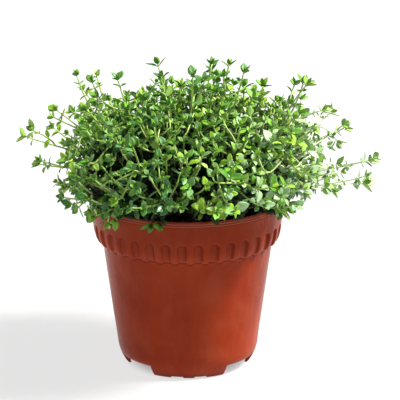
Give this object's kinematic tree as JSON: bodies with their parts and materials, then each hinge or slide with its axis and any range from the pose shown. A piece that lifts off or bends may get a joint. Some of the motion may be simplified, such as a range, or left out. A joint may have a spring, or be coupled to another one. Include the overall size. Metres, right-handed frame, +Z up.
{
  "type": "potted thyme",
  "caption": "Bushy thyme plant with small opposite leaves on thin arching stems, growing in a round tapered plastic nursery pot with a fluted collar and notched feet.",
  "frame": {"origin": "middle of the whole plant and pot's bounding box, at the underside of the pot's feet; the pot's own axis is 7.8 mm towards -X", "axes": "+Z up from the surface that the pot stands on, -Y the side that faces the picture's camera, +X to that camera's right, along the plant's widest spread"},
  "size_m": [0.2228, 0.2049, 0.1922],
  "materials": {
    "pot_plastic": "smooth moulded plastic, soft gloss",
    "potting_mix": "rough, crumbly",
    "thyme_leaf": "small leaves with a soft sheen",
    "thyme_stem": "matte, finely haired"
  },
  "bodies": {
    "root": {"pot": "pot_plastic", "soil": "potting_mix", "sprig_01": "thyme_leaf", "sprig_02": "thyme_leaf", "sprig_03": "thyme_leaf", "sprig_04": "thyme_leaf", "sprig_05": "thyme_leaf", "sprig_06": "thyme_leaf", "sprig_07": "thyme_leaf", "sprig_08": "thyme_leaf", "sprig_09": "thyme_leaf", "sprig_10": "thyme_leaf", "sprig_11": "thyme_leaf", "sprig_12": "thyme_leaf", "sprig_13": "thyme_leaf", "sprig_14": "thyme_leaf", "sprig_15": "thyme_leaf", "sprig_16": "thyme_leaf", "sprig_17": "thyme_leaf", "sprig_18": "thyme_leaf", "sprig_19": "thyme_leaf", "sprig_20": "thyme_leaf", "sprig_21": "thyme_leaf", "sprig_22": "thyme_leaf", "sprig_23": "thyme_leaf", "sprig_24": "thyme_leaf", "sprig_25": "thyme_leaf", "sprig_26": "thyme_leaf", "sprig_27": "thyme_leaf", "sprig_28": "thyme_leaf", "sprig_29": "thyme_leaf", "sprig_30": "thyme_leaf", "sprig_31": "thyme_leaf", "sprig_32": "thyme_leaf", "sprig_33": "thyme_leaf", "sprig_34": "thyme_leaf", "sprig_35": "thyme_leaf", "sprig_36": "thyme_leaf", "sprig_37": "thyme_leaf", "sprig_38": "thyme_leaf", "sprig_39": "thyme_leaf", "sprig_40": "thyme_leaf", "sprig_41": "thyme_leaf", "sprig_42": "thyme_leaf", "sprig_43": "thyme_leaf", "sprig_44": "thyme_leaf", "sprig_45": "thyme_leaf", "sprig_46": "thyme_leaf", "sprig_47": "thyme_leaf", "sprig_48": "thyme_leaf"}
  },
  "joints": []
}
